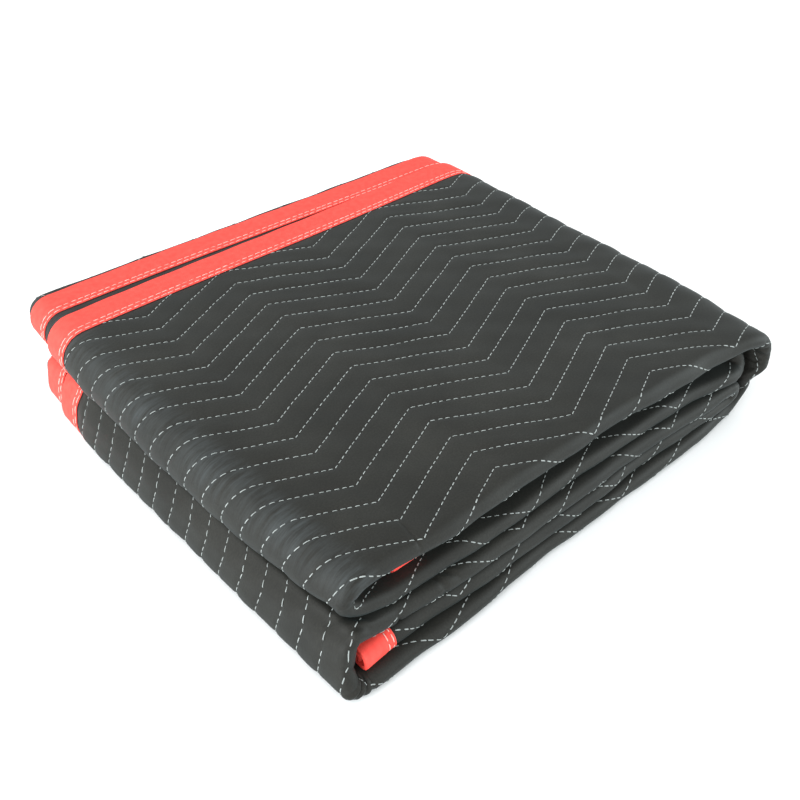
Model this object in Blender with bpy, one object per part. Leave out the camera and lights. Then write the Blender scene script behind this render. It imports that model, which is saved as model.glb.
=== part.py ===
# Folded moving pad: one quilted nonwoven blanket, edge-bound with seam tape.
#
# The pad is folded in half and in half again across its width, which gives four
# layers, and the strip of four layers is then wound up along its length into six
# strips that lie on each other.  +Z is up.  +X runs along the long side of the
# bundle, from the two round bends to the creased outer wall.  The bound edges are
# at +Y and the stacked folds at -Y.  The origin is under the middle of the bundle.
#
# Every point of the flat pad has a distance u along its long side, a distance v
# across it and a height h from its middle surface.  place(u, v, h) folds it.
import bisect
import math

import bpy
from mathutils import Vector
from mathutils.geometry import tessellate_polygon

# ---- sizes in metres -------------------------------------------------------
cloth_half = 0.00075        # half the thickness of the quilted cloth
bound_half = 0.00035        # the same where the seam tape presses it flat
tape_width = 0.0180         # how far the seam tape reaches in from the edge
tape_thick = 0.0004
tape_gap = 0.0003           # between the tape and the cloth
bound_reach = 0.0186        # the cloth stays pressed flat this far in
open_reach = 0.0196         # and has its full thickness from here on

line_step = 0.0144          # between two lines of the zigzag quilting
zigzag_rise = 0.0256        # how far a line swings across the pad
zigzag_period = 0.1127      # one full zigzag along the pad
first_line = 0.0570         # from the first bound edge to a low apex of a line
first_apex = -0.0960        # x of a low apex on the top of the bundle
quilt_slip = 0.0390         # the zigzag is longer by this on the bottom strip
puff_high = 0.00050         # ridge between two lines, over the plain surface
puff_low = 0.00045          # trough along a line, below it

# y of the edges and folds of the strip on top, at the middle of its length
bound_edge = 0.1110         # first bound edge, on the outer layer
under_edge = 0.1350         # second bound edge, on the layer under it
back_fold = 0.1400          # centre of the fold beyond both
outer_lip = -0.1347         # the outer fold at -Y
inner_tuck = -0.1283        # centre of the fold inside it
foot_recess = 0.0045        # both lie further in, in the lower bend

# One row for each strip, in the order in which it is wound, from the inner end.
# height: middle of the strip over the ground; pitch: from layer to layer;
# shift: how far the whole strip lies towards +Y of the one on top;
# lift, lift2: how far layers 1 and 2 move inwards under the tape;
# under, back: how far the second bound edge and the rear fold move besides at -X.
strips = {
    "inner upper":  dict(height=0.04410, pitch=0.00260, shift=0.0095, lift=0.0, lift2=0.0,
                         under=0.0, back=0.0),
    "fold upper":   dict(height=0.03420, pitch=0.00250, shift=-0.0007, lift=0.0003, lift2=0.0,
                         under=0.0, back=0.0),
    "top":          dict(height=0.05410, pitch=0.00250, shift=0.0, lift=0.0, lift2=0.0,
                         under=0.0, back=0.0),
    "bottom":       dict(height=0.00450, pitch=0.00250, shift=-0.0085, lift=0.00043, lift2=0.0002,
                         under=-0.0070, back=-0.0105),
    "fold lower":   dict(height=0.02450, pitch=0.00260, shift=-0.0050, lift=0.0004, lift2=0.0,
                         under=-0.0070, back=-0.0105),
    "inner lower":  dict(height=0.01450, pitch=0.00268, shift=-0.0055, lift=0.0, lift2=0.0,
                         under=0.0, back=0.0),
}
winding = ["inner upper", "fold upper", "top", "bottom", "fold lower", "inner lower"]

# x where the strips begin, turn and end
inner_start = -0.1090
upper_turn = 0.1385
upper_bend = -0.1306
lower_bend = -0.1360
lower_turn = 0.1330
inner_end = -0.1335

# where the bundle's ramps begin, from its middle
left_ramp = 0.1140
right_ramp = 0.0850
front_ramp = 0.0750
shared_columns = [-0.1306, -left_ramp, -0.0300, right_ramp]

# The outer wall's middle line, from the top strip down to the bottom one: full
# in its upper half, pressed in at half height, and less full below.
wall = [
    dict(x=0.1415, z=0.05410),
    dict(x=0.1495, z=0.0532),
    dict(x=0.1560, z=0.0490),
    dict(x=0.1585, z=0.0415),
    dict(x=0.1570, z=0.0348),
    dict(x=0.1535, z=0.0290),
    dict(x=0.1512, z=0.0235),
    dict(x=0.1510, z=0.0175),
    dict(x=0.1490, z=0.0118),
    dict(x=0.1445, z=0.0070),
    dict(x=0.1385, z=0.0046),
    dict(x=0.1320, z=0.0045),
]


# ---- the path of the strip, seen from the side ------------------------------
def smooth(value, low, high):
    part = min(1.0, max(0.0, (value - low) / (high - low)))
    return part * part * (3.0 - 2.0 * part)


def half_turn(x, z, radius, first, last, steps=48):
    """Points on an arc about (x, z), its angles in degrees from +X."""
    points = []
    for step in range(1, steps):
        angle = math.radians(first + (last - first) * step / steps)
        points.append((x + radius * math.cos(angle), z + radius * math.sin(angle)))
    return points


def spline(rows, steps=12):
    """Catmull-Rom points through the rows of a table."""
    knots = [(row["x"], row["z"]) for row in rows]
    points = []
    for index in range(len(knots) - 1):
        before = knots[max(index - 1, 0)]
        start, stop = knots[index], knots[index + 1]
        after = knots[min(index + 2, len(knots) - 1)]
        for step in range(steps):
            t = step / steps
            weights = (-0.5 * t + t * t - 0.5 * t ** 3, 1 - 2.5 * t * t + 1.5 * t ** 3,
                       0.5 * t + 2 * t * t - 1.5 * t ** 3, -0.5 * t * t + 0.5 * t ** 3)
            points.append(tuple(sum(w * p[axis] for w, p in
                                    zip(weights, (before, start, stop, after)))
                                for axis in (0, 1)))
    points.append(knots[-1])
    return [(x, max(z, knots[-1][1])) for x, z in points]


def middle_of(first, second):
    upper, lower = strips[first]["height"], strips[second]["height"]
    return (upper + lower) / 2, abs(upper - lower) / 2


def wind_path():
    """Points (x, z) of the strip's middle line and the marks along it."""
    points, marks = [], {}

    def run(name, start, stop):
        height = strips[name]["height"]
        marks[name] = [len(points)]
        count = 140
        for step in range(count + 1):
            points.append((start + (stop - start) * step / count, height))
        marks[name].append(len(points) - 1)

    run("inner upper", inner_start, upper_turn)
    middle, radius = middle_of("inner upper", "fold upper")
    points.extend(half_turn(upper_turn, middle, radius, 90, -90))
    run("fold upper", upper_turn, upper_bend)
    middle, radius = middle_of("fold upper", "top")
    points.extend(half_turn(upper_bend, middle, radius, 270, 90))
    run("top", upper_bend, wall[0]["x"] - 0.0005)
    points.extend(spline(wall))
    run("bottom", wall[-1]["x"] - 0.0005, lower_bend)
    middle, radius = middle_of("bottom", "fold lower")
    points.extend(half_turn(lower_bend, middle, radius, 270, 90))
    run("fold lower", lower_bend, lower_turn)
    middle, radius = middle_of("fold lower", "inner lower")
    points.extend(half_turn(lower_turn, middle, radius, 90, -90))
    run("inner lower", lower_turn, inner_end)
    lengths = [0.0]
    for before, after in zip(points, points[1:]):
        lengths.append(lengths[-1] + math.dist(before, after))
    return points, lengths, {name: [lengths[i] for i in pair] for name, pair in marks.items()}


path, lengths, spans = wind_path()
flat_length = lengths[-1]
apex_shift = spans["top"][0] + (first_apex - upper_bend)


def along(u):
    """Place and outward normal (x, z) of the strip's middle line at u."""
    inside = min(max(u, 0.0), flat_length)
    index = min(max(bisect.bisect_right(lengths, inside) - 1, 0), len(path) - 2)
    span = lengths[index + 1] - lengths[index]
    t = (inside - lengths[index]) / span
    (x0, z0), (x1, z1) = path[index], path[index + 1]

    def heading(near):
        ax, az = path[max(near - 1, 0)]
        bx, bz = path[min(near + 1, len(path) - 1)]
        size = math.hypot(bx - ax, bz - az)
        return (bx - ax) / size, (bz - az) / size

    hx = heading(index)[0] * (1 - t) + heading(index + 1)[0] * t
    hz = heading(index)[1] * (1 - t) + heading(index + 1)[1] * t
    size = math.hypot(hx, hz)
    hx, hz = hx / size, hz / size
    beyond = u - inside
    x = x0 + (x1 - x0) * t + hx * beyond
    z = z0 + (z1 - z0) * t + hz * beyond
    return x, z, -hz, hx


def value_at(u, column):
    """A column of the strips table, eased from one strip into the next."""
    value = strips[winding[0]][column]
    for before, after in zip(winding, winding[1:]):
        part = smooth(u, spans[before][1] - 0.010, spans[after][0] + 0.010)
        value += (strips[after][column] - strips[before][column]) * part
    return value


def wave(u, length, shift):
    return math.sin(2 * math.pi * (u / length + shift))


# ---- the four layers, seen along the strip ----------------------------------
def profile(u):
    """The sizes of the folded cross-section at u."""
    pitch = value_at(u, "pitch")
    shift = value_at(u, "shift")
    sway = 0.0009 * wave(u, 0.171, 0.1) + 0.0006 * wave(u, 0.083, 0.4)
    bend = ramp(u, spans["bottom"][1], spans["fold lower"][0])
    sway += foot_recess * math.sin(math.pi * bend) ** 2     # the near lower corner is rounded
    lip = outer_lip + shift + sway + 1.5 * pitch + cloth_half
    tuck = max(inner_tuck + shift + sway, lip + 0.0006)
    edge = bound_edge + shift + 0.0006 * wave(u, 0.240, 0.7)
    slant = along(u)[0] / 0.150
    lefthand = 0.5 - 0.5 * min(1.0, max(-1.0, slant))
    under = under_edge + shift + value_at(u, "under") * lefthand - 0.0040 * slant
    under += 0.0008 * wave(u, 0.310, 0.2)
    back = back_fold + shift + value_at(u, "back") * lefthand - 0.0055 * slant
    outer_turn = math.pi * 1.5 * pitch
    small_turn = math.pi * 0.5 * pitch
    stops = [edge - lip]
    stops.append(stops[-1] + outer_turn)
    stops.append(stops[-1] + back - lip)
    stops.append(stops[-1] + small_turn)
    stops.append(stops[-1] + back - tuck)
    stops.append(stops[-1] + small_turn)
    stops.append(stops[-1] + under - tuck)
    return dict(pitch=pitch, lip=lip, tuck=tuck, edge=edge, under=under, back=back,
                stops=stops, lift=value_at(u, "lift"), lift2=value_at(u, "lift2"))


def section(shape, v):
    """(y, s) and the normal (y, s) of the cloth's middle surface at v."""
    pitch, stops = shape["pitch"], shape["stops"]
    if v <= stops[0]:
        y = shape["edge"] - v
        s = 1.5 * pitch - shape["lift"] * smooth(y, 0.078, 0.088)
        return y, s, 0.0, 1.0
    if v < stops[1]:
        turn = (v - stops[0]) / (1.5 * pitch)
        return (shape["lip"] - 1.5 * pitch * math.sin(turn), 1.5 * pitch * math.cos(turn),
                -math.sin(turn), math.cos(turn))
    if v <= stops[2]:
        return shape["lip"] + v - stops[1], -1.5 * pitch, 0.0, -1.0
    if v < stops[3]:
        turn = (v - stops[2]) / (0.5 * pitch)
        return (shape["back"] + 0.5 * pitch * math.sin(turn), -pitch - 0.5 * pitch * math.cos(turn),
                math.sin(turn), -math.cos(turn))
    if v <= stops[4]:
        return shape["back"] - (v - stops[3]), -0.5 * pitch, 0.0, 1.0
    if v < stops[5]:
        turn = (v - stops[4]) / (0.5 * pitch)
        return (shape["tuck"] - 0.5 * pitch * math.sin(turn), -0.5 * pitch * math.cos(turn),
                math.sin(turn), math.cos(turn))
    y = shape["tuck"] + v - stops[5]
    return y, 0.5 * pitch - shape["lift2"] * smooth(y, 0.078, 0.088), 0.0, -1.0


def ramp(value, low, high):
    return min(1.0, max(0.0, (value - low) / (high - low)))


def settle(x, y, z):
    """The sag, bow and lean of the whole bundle.  The lowest layer stays flat.

    In flat layers the height changes by straight ramps, whose ends lie on rows
    and columns that all layers share, so layers that lie close stay parallel.
    """
    left = smooth(-x, 0.050, 0.140)
    right = ramp(x, right_ramp, 0.165)
    front = ramp(-y, front_ramp, 0.145)
    # the near left corner: the lower bend is full, the upper one pressed thin
    pinch = ramp(-x, left_ramp, 0.1365) * front
    full = ramp(z, 0.0188, 0.0204) - ramp(z, 0.0390, 0.0494)
    lean = 0.992 - 0.040 * (x / 0.150) - 0.005 * (y / 0.130) - 0.055 * right * front
    droop = 0.0042 * smooth(-y, 0.1290, 0.139) * smooth(z, 0.0475, 0.0490)
    droop *= (0.35 + 0.65 * smooth(x, -0.110, 0.090)) * (1.0 - smooth(x, 0.118, 0.141))
    settled = cloth_half + (z - cloth_half) * lean + 0.0065 * pinch * full - droop
    high = smooth(z, 0.018, 0.032)      # the upper bend runs back towards -Y, the lower one doesn't
    x += left * (y / 0.130) ** 2 * (0.0038 * high if y < 0 else 0.0052)
    x -= 0.0030 * right * front
    y -= 0.0075 * smooth(x, 0.100, 0.150) * front * smooth(z, 0.022, 0.034)
    y += 0.0040 * (1.0 - smooth(z, 0.004, 0.022)) * front * x / 0.150
    return x, y, settled


def place(u, v, h):
    """Where the point at (u, v, h) of the flat pad lies in the bundle."""
    step = 0.0001
    x, z, nx, nz = along(u)
    y, s, ny, ns = section(profile(u), v)
    x, z = x + s * nx, z + s * nz
    base = Vector(settle(x, y, z))
    side = Vector(settle(x - ny * nx * step, y + ns * step, z - ny * nz * step)) - base
    way = Vector(settle(x + nz * step, y, z - nx * step)) - base
    x, y, z = base + h * way.cross(side).normalized()
    return x, y, max(z, 0.0)    # the ground presses it flat


# ---- the cloth ---------------------------------------------------------------
def zigzag(u):
    """0 at a low apex of a quilting line, 1 at a high one."""
    slip = quilt_slip * ramp(u, spans["bottom"][0], spans["bottom"][1])
    phase = ((u - apex_shift - slip) / zigzag_period) % 1.0
    return 2 * phase if phase < 0.5 else 2 - 2 * phase


def shows(u, margin=0.0):
    """Whether the outer layer can be seen at u and isn't pressed flat."""
    turns = [(spans["fold upper"][1], spans["bottom"][0]),
             (spans["bottom"][1], spans["fold lower"][0])]
    return any(start + margin < u < stop - margin for start, stop in turns)


def columns():
    """Distances u along the pad where its mesh has a line of points."""
    marks = [0.0, bound_reach / 2, bound_reach, open_reach]
    marks += [flat_length - mark for mark in marks]
    turns = {"inner upper": 4, "fold upper": 7, "top": 10, "bottom": 7, "fold lower": 4}
    for before, after in zip(winding, winding[1:]):
        start, stop = spans[before][1], spans[after][0]
        for step in range(turns[before] + 1):
            marks.append(start + (stop - start) * step / turns[before])
    for name in winding:
        start, stop = spans[name]
        x0, x1 = along(start)[0], along(stop)[0]
        for x in shared_columns:
            mark = start + (stop - start) * (x - x0) / (x1 - x0)
            if max(start, open_reach) < mark < min(stop, flat_length - open_reach):
                marks.append(mark)
    for number in range(-3, 30):
        apex = apex_shift + number * zigzag_period / 2
        if apex > spans["bottom"][0]:
            apex += quilt_slip
        if shows(apex):
            marks.append(apex)
    marks.sort()
    kept = [marks[0]]
    for mark in marks[1:]:
        if mark - kept[-1] > 0.0009:
            kept.append(mark)
    return kept


def half_thickness(u, v, width):
    inside = min(u, v, flat_length - u, width - v)
    part = min(1.0, max(0.0, (inside - bound_reach) / (open_reach - bound_reach)))
    return bound_half + (cloth_half - bound_half) * part


def plain_rows(shape):
    """(key, v) of the straight rows, the same on both faces of the cloth."""
    stops = shape["stops"]
    rows = [(0, 0.0), (1, bound_reach), (2, open_reach)]
    for base, (start, stop), steps in ((900, stops[0:2], 6), (1000, stops[2:4], 4),
                                       (1100, stops[4:6], 4)):
        for step in range(steps + 1):
            rows.append((base + step, start + (stop - start) * step / steps))
    beside = front_ramp + shape["lip"]
    rows += [(890, stops[0] + beside), (920, stops[1] - beside)]
    beside = front_ramp + shape["tuck"]
    rows += [(1090, stops[4] + beside), (1120, stops[5] - beside)]
    rows += [(1200, stops[6] - open_reach), (1201, stops[6] - bound_reach), (1202, stops[6])]
    return sorted(rows)


def outer_rows(u, shape):
    """(key, v, rise) of the outer face: the quilting between the straight rows."""
    rows = [(key, v, 0.0) for key, v in plain_rows(shape)]
    if shows(u, -0.0001):
        rows = [row for row in rows if row[0] != 890]
        puff = 1.0 if shows(u, 0.006) else 0.0
        low = first_line - 8 * line_step - zigzag_rise * zigzag(u)
        for number in range(64):
            v = low + number * line_step / 2
            if open_reach + 0.0008 < v < shape["stops"][0] - 0.0008:
                rise = -puff_low if number % 2 == 0 else puff_high
                rows.append((100 + number, v, rise * puff))
    return sorted(rows)


def split_quad(faces, points, ring):
    """Two triangles, always split the same way as seen from above."""
    low = min(range(4), key=lambda corner: points[ring[corner]][0] + points[ring[corner]][1])
    ring = ring[low:] + ring[:low]
    faces.append((ring[0], ring[1], ring[2]))
    faces.append((ring[0], ring[2], ring[3]))


def zip_rows(faces, points, first, second):
    """Triangles between two lines of (key, point, v), joined where their keys agree."""
    i = j = 0
    borders = (2, 900)
    while i < len(first) - 1 or j < len(second) - 1:
        next_i = first[i + 1] if i < len(first) - 1 else (math.inf, 0, math.inf)
        next_j = second[j + 1] if j < len(second) - 1 else (math.inf, 0, math.inf)
        quilted = 100 <= next_i[0] < 890 and 100 <= next_j[0] < 890
        sooner = next_i[0] < next_j[0] if quilted else next_i[2] < next_j[2]
        if next_i[0] == next_j[0]:
            split_quad(faces, points, [first[i][1], next_i[1], next_j[1], second[j][1]])
            i += 1
            j += 1
        elif next_j[0] in borders or (sooner and next_i[0] not in borders):
            faces.append((first[i][1], next_i[1], second[j][1]))
            i += 1
        else:
            faces.append((first[i][1], next_j[1], second[j][1]))
            j += 1


def make_cloth():
    points, faces, outer, inner = [], [], [], []
    for u in columns():
        shape = profile(u)
        line = []
        for key, v, rise in outer_rows(u, shape):
            line.append((key, len(points), v))
            points.append(place(u, v, half_thickness(u, v, shape["stops"][6]) + rise))
        outer.append(line)
        line = []
        for key, v in plain_rows(shape):
            line.append((key, len(points), v))
            points.append(place(u, v, -half_thickness(u, v, shape["stops"][6])))
        inner.append(line)
    for left, right in zip(outer, outer[1:]):
        zip_rows(faces, points, left, right)
    for left, right in zip(inner, inner[1:]):
        zip_rows(faces, points, right, left)
    zip_rows(faces, points, inner[0], outer[0])
    zip_rows(faces, points, outer[-1], inner[-1])
    for row in (0, -1):
        for number in range(len(outer) - 1):
            a, b = outer[number][row][1], outer[number + 1][row][1]
            c, d = inner[number + 1][row][1], inner[number][row][1]
            faces += [(a, b, c), (a, c, d)] if row == 0 else [(a, c, b), (a, d, c)]
    return points, faces


# ---- the seam tape -------------------------------------------------------------
def tape_section(halfway):
    """(reach from the edge, height) around the folded tape."""
    inside = bound_half + tape_gap
    outside = inside + tape_thick
    turn = tape_gap + tape_thick
    half = [(bound_reach / 2, outside)] if halfway else []
    over = [(tape_width, outside)] + half + [(-0.4 * turn, outside), (-turn, 0.5 * outside)]
    half = [(bound_reach / 2, inside)] if halfway else []
    under = [(-tape_gap, inside)] + half + [(tape_width, inside)]
    ring = over + [(reach, -height) for reach, height in reversed(over)]
    return ring + [(reach, -height) for reach, height in reversed(under)] + under


def sweep(stations, spot, ring):
    """A closed body from one ring of points at each station."""
    points, faces = [], []
    for station in stations:
        points += [spot(station, reach, height) for reach, height in ring]
    count = len(ring)
    for number in range(len(stations) - 1):
        for corner in range(count):
            a = number * count + corner
            b = number * count + (corner + 1) % count
            split_quad(faces, points, [a, b, b + count, a + count])
    last = (len(stations) - 1) * count
    for a, b, c in tessellate_polygon([[Vector((reach, height, 0)) for reach, height in ring]]):
        turned = (ring[b][0] - ring[a][0]) * (ring[c][1] - ring[a][1])
        turned -= (ring[c][0] - ring[a][0]) * (ring[b][1] - ring[a][1])
        if turned < 0:
            b, c = c, b
        faces += [(a, c, b), (last + a, last + b, last + c)]
    return points, faces


def make_long_tape(second):
    """The tape on a long edge of the pad, wound with it from end to end."""
    def spot(u, reach, height):
        return place(u, profile(u)["stops"][6] - reach if second else reach, height)
    return sweep(columns(), spot, tape_section(False))


def make_end_tape(last):
    """The tape on a short edge, folded with the four layers."""
    def spot(key, reach, height):
        u = flat_length - reach if last else reach
        shape = profile(u)
        v = dict(plain_rows(shape)).get(key)
        if v is None:
            short = tape_width + tape_gap + 0.0002
            v = short if key < 890 else shape["stops"][6] - short
        return place(u, v, height)

    folds = [key for key, v in plain_rows(profile(0.0)) if 890 <= key < 1200]
    return sweep([50] + folds + [1150], spot, tape_section(True))


# ---- objects -------------------------------------------------------------------
def make_material(name, colour, roughness):
    material = bpy.data.materials.new(name)
    material.use_nodes = True
    shader = material.node_tree.nodes["Principled BSDF"]
    shader.inputs["Base Color"].default_value = (*colour, 1.0)
    shader.inputs["Roughness"].default_value = roughness
    shader.inputs["Metallic"].default_value = 0.0
    return material


def add_object(name, points, faces, material, shift):
    mesh = bpy.data.meshes.new(name)
    mesh.from_pydata([Vector(point) - shift for point in points], [], faces)
    mesh.materials.append(material)
    mesh.validate()
    mesh.shade_smooth()
    mesh.set_sharp_from_angle(angle=math.radians(50))
    thing = bpy.data.objects.new(name, mesh)
    bpy.context.scene.collection.objects.link(thing)
    return thing


def outward(points, faces):
    """The faces, turned around if the body they close is inside out."""
    volume = 0.0
    for a, b, c in faces:
        volume += Vector(points[a]).dot(Vector(points[b]).cross(Vector(points[c])))
    return faces if volume > 0 else [(a, c, b) for a, b, c in faces]


def main():
    for thing in list(bpy.data.objects):
        bpy.data.objects.remove(thing, do_unlink=True)
    felt = make_material("black nonwoven", (0.038, 0.042, 0.041), 0.92)
    tape = make_material("coral seam tape", (0.95, 0.115, 0.095), 0.80)
    pieces = {
        "pad": (*make_cloth(), felt),
        "binding_long_1": (*make_long_tape(False), tape),
        "binding_long_2": (*make_long_tape(True), tape),
        "binding_end_1": (*make_end_tape(False), tape),
        "binding_end_2": (*make_end_tape(True), tape),
    }
    every = [point for points, faces, material in pieces.values() for point in points]
    lows = [min(point[axis] for point in every) for axis in range(3)]
    highs = [max(point[axis] for point in every) for axis in range(3)]
    shift = Vector(((lows[0] + highs[0]) / 2, (lows[1] + highs[1]) / 2, 0.0))
    for name, (points, faces, material) in pieces.items():
        add_object(name, points, outward(points, faces), material, shift)


main()
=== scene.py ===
# Folded moving pad: black quilted nonwoven with coral seam tape, folded to four
# layers and wound into six strips. Every piece is made flat, at a distance u along
# the pad and v across it, and is then folded by onPad(). Sizes are in metres.
import math

import bpy
import numpy as np
from mathutils import Matrix, Vector


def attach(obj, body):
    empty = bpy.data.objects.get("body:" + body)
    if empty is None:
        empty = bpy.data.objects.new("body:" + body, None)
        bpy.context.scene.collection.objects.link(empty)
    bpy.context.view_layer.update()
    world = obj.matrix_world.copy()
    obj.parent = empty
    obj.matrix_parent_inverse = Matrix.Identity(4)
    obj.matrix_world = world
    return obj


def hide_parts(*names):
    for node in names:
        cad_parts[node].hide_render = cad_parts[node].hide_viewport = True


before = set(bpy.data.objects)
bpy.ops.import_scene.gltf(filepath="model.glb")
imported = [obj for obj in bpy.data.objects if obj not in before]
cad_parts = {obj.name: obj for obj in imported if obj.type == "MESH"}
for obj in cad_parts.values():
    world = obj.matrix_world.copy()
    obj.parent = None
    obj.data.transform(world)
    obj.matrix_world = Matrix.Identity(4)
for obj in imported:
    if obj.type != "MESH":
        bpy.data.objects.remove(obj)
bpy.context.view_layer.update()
print("frame loaded:", ", ".join(sorted(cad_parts)))

padLook = {
    "halfThick": 0.00075, "boundHalf": 0.00035,     # cloth, and cloth under the tape
    "boundReach": 0.0186, "openReach": 0.0196,      # the cloth swells between these, from its edge
    "lineStep": 0.0144, "zigzagRise": 0.0256, "zigzagPeriod": 0.1127,
    "knownLine": 8, "knownAt": 0.0570,              # a quilting line, and its v at the foot of a leg
    "firstApex": -0.0960, "quiltSlip": 0.0370,
    "puff": 0.00034, "puffPower": 2.6, "valley": 0.00030, "valleyWide": 0.0011,
    "uneven": 0.00024, "hiddenShare": 0.25, "rearShare": 0.6, "sharp": 55,
    "fineStep": 0.0045, "coarseStep": 0.0066, "turnStep": 0.0030,   # between columns: seen, hidden, bends
}

foldPlan = {    # y of the edges and folds in the top strip
    "boundEdge": 0.1110, "underEdge": 0.1350, "backFold": 0.1400,
    "outerLip": -0.1347, "innerTuck": -0.1283, "tuckGap": 0.0006, "footRecess": 0.0015,
    "peep": 0.0036, "peepZone": (0.022, 0.060),     # the first end stands out of the stack
    "underSlant": 0.0040, "backSlant": 0.0055, "halfLength": 0.150,
    "lipSways": [(0.0009, 0.171, 0.1), (0.0006, 0.083, 0.4)],       # size, length and start of each
    "edgeSway": (0.0006, 0.240, 0.7), "underSway": (0.0008, 0.310, 0.2),
    "blend": 0.010, "stripPoints": 141,
    "centre": (0.00627192, 0.00451090),             # middle of the bundle in these sizes
}

# from the inner end of the winding to the other one; under and back move the second
# bound edge and the rear fold at -X, lift and lift2 draw the two bound layers in at +Y,
# which makes room for the tape
strips = {
    "innerUpper": {"height": 0.04410, "pitch": 0.00260, "shift": 0.0095, "lift": 0.0, "lift2": 0.0,
                   "under": 0.0, "back": 0.0},
    "foldUpper": {"height": 0.03420, "pitch": 0.00250, "shift": -0.0007, "lift": 0.0003, "lift2": 0.0,
                  "under": 0.0, "back": 0.0},
    "top": {"height": 0.05410, "pitch": 0.00250, "shift": 0.0, "lift": 0.0, "lift2": 0.0,
            "under": 0.0, "back": 0.0},
    "bottom": {"height": 0.00450, "pitch": 0.00250, "shift": -0.0085, "lift": 0.00043, "lift2": 0.0002,
               "under": -0.0070, "back": -0.0105},
    "foldLower": {"height": 0.02450, "pitch": 0.00260, "shift": -0.0050, "lift": 0.0004, "lift2": 0.0,
                  "under": -0.0070, "back": -0.0105},
    "innerLower": {"height": 0.01450, "pitch": 0.00268, "shift": -0.0055, "lift": 0.0, "lift2": 0.0,
                   "under": 0.0, "back": 0.0},
}
winding = list(strips)
turns = {"innerStart": -0.1090, "upperTurn": 0.1385, "upperBend": -0.1306,
         "lowerBend": -0.1360, "lowerTurn": 0.1330, "innerEnd": -0.1335, "wallGap": 0.0005}

# middle line of the outer wall, from the top strip down to the bottom one
wallLine = [(0.1415, 0.05410), (0.1495, 0.0532), (0.1560, 0.0490), (0.1585, 0.0415),
            (0.1570, 0.0348), (0.1535, 0.0290), (0.1512, 0.0235), (0.1510, 0.0175),
            (0.1490, 0.0118), (0.1445, 0.0070), (0.1385, 0.0046), (0.1320, 0.0045)]


def smooth(value, low, high):
    part = np.clip((value - low) / (high - low), 0.0, 1.0)
    return part * part * (3.0 - 2.0 * part)


def softRamp(value, low, high, sharp=14.0):
    part = (value - low) / (high - low)     # a straight ramp with rounded ends
    return (np.logaddexp(0, sharp * part) - np.logaddexp(0, sharp * (part - 1))) / sharp


def halfTurn(x, z, radius, first, last, steps=48):
    angles = np.radians(first + (last - first) * np.arange(1, steps) / steps)
    return list(zip(x + radius * np.cos(angles), z + radius * np.sin(angles)))


def splineThrough(knots, steps=12):
    points = []
    for index in range(len(knots) - 1):
        near = [knots[max(index - 1, 0)], knots[index], knots[index + 1],
                knots[min(index + 2, len(knots) - 1)]]
        for step in range(steps):
            t = step / steps
            weights = (-0.5 * t + t * t - 0.5 * t ** 3, 1 - 2.5 * t * t + 1.5 * t ** 3,
                       0.5 * t + 2 * t * t - 1.5 * t ** 3, -0.5 * t * t + 0.5 * t ** 3)
            points.append(tuple(np.dot(weights, near)))
    points.append(knots[-1])
    return [(x, max(z, strips["bottom"]["height"])) for x, z in points]


def windPath():
    points, marks = [], {}

    def run(name, start, stop):
        marks[name] = [len(points)]
        stations = np.linspace(start, stop, foldPlan["stripPoints"])
        points.extend((x, strips[name]["height"]) for x in stations)
        marks[name].append(len(points) - 1)

    def turn(x, name, other, first, last):
        upper, lower = strips[name]["height"], strips[other]["height"]
        points.extend(halfTurn(x, (upper + lower) / 2, abs(upper - lower) / 2, first, last))

    run("innerUpper", turns["innerStart"], turns["upperTurn"])
    turn(turns["upperTurn"], "innerUpper", "foldUpper", 90, -90)
    run("foldUpper", turns["upperTurn"], turns["upperBend"])
    turn(turns["upperBend"], "foldUpper", "top", 270, 90)
    run("top", turns["upperBend"], wallLine[0][0] - turns["wallGap"])
    points.extend(splineThrough(wallLine))
    run("bottom", wallLine[-1][0] - turns["wallGap"], turns["lowerBend"])
    turn(turns["lowerBend"], "bottom", "foldLower", 270, 90)
    run("foldLower", turns["lowerBend"], turns["lowerTurn"])
    turn(turns["lowerTurn"], "foldLower", "innerLower", 90, -90)
    run("innerLower", turns["lowerTurn"], turns["innerEnd"])
    points = np.array(points)
    steps = np.hypot(*np.diff(points, axis=0).T)
    reach = np.concatenate([[0.0], np.cumsum(steps)])
    heading = np.gradient(points, axis=0)
    heading /= np.hypot(*heading.T)[:, None]
    stretches = {name: [reach[i] for i in pair] for name, pair in marks.items()}
    return points, heading, reach, stretches


pathPoints, pathHeading, pathReach, spans = windPath()
flatLength = pathReach[-1]
apexShift = spans["top"][0] + (padLook["firstApex"] - turns["upperBend"])
halfZigzag = padLook["zigzagPeriod"] / 2


def alongPath(u):
    # x, z and the outward normal of the strip's middle line
    inside = np.clip(u, 0.0, flatLength)
    x, z = (np.interp(inside, pathReach, pathPoints[:, axis]) for axis in (0, 1))
    hx, hz = (np.interp(inside, pathReach, pathHeading[:, axis]) for axis in (0, 1))
    size = np.hypot(hx, hz)
    hx, hz = hx / size, hz / size
    return x + hx * (u - inside), z + hz * (u - inside), -hz, hx


def valueAt(u, column):
    value = np.full(np.shape(u), strips[winding[0]][column])
    for before, after in zip(winding, winding[1:]):
        part = smooth(u, spans[before][1] - foldPlan["blend"], spans[after][0] + foldPlan["blend"])
        value = value + (strips[after][column] - strips[before][column]) * part
    return value


def wave(u, length, shift):
    return np.sin(2 * np.pi * (u / length + shift))


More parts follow.
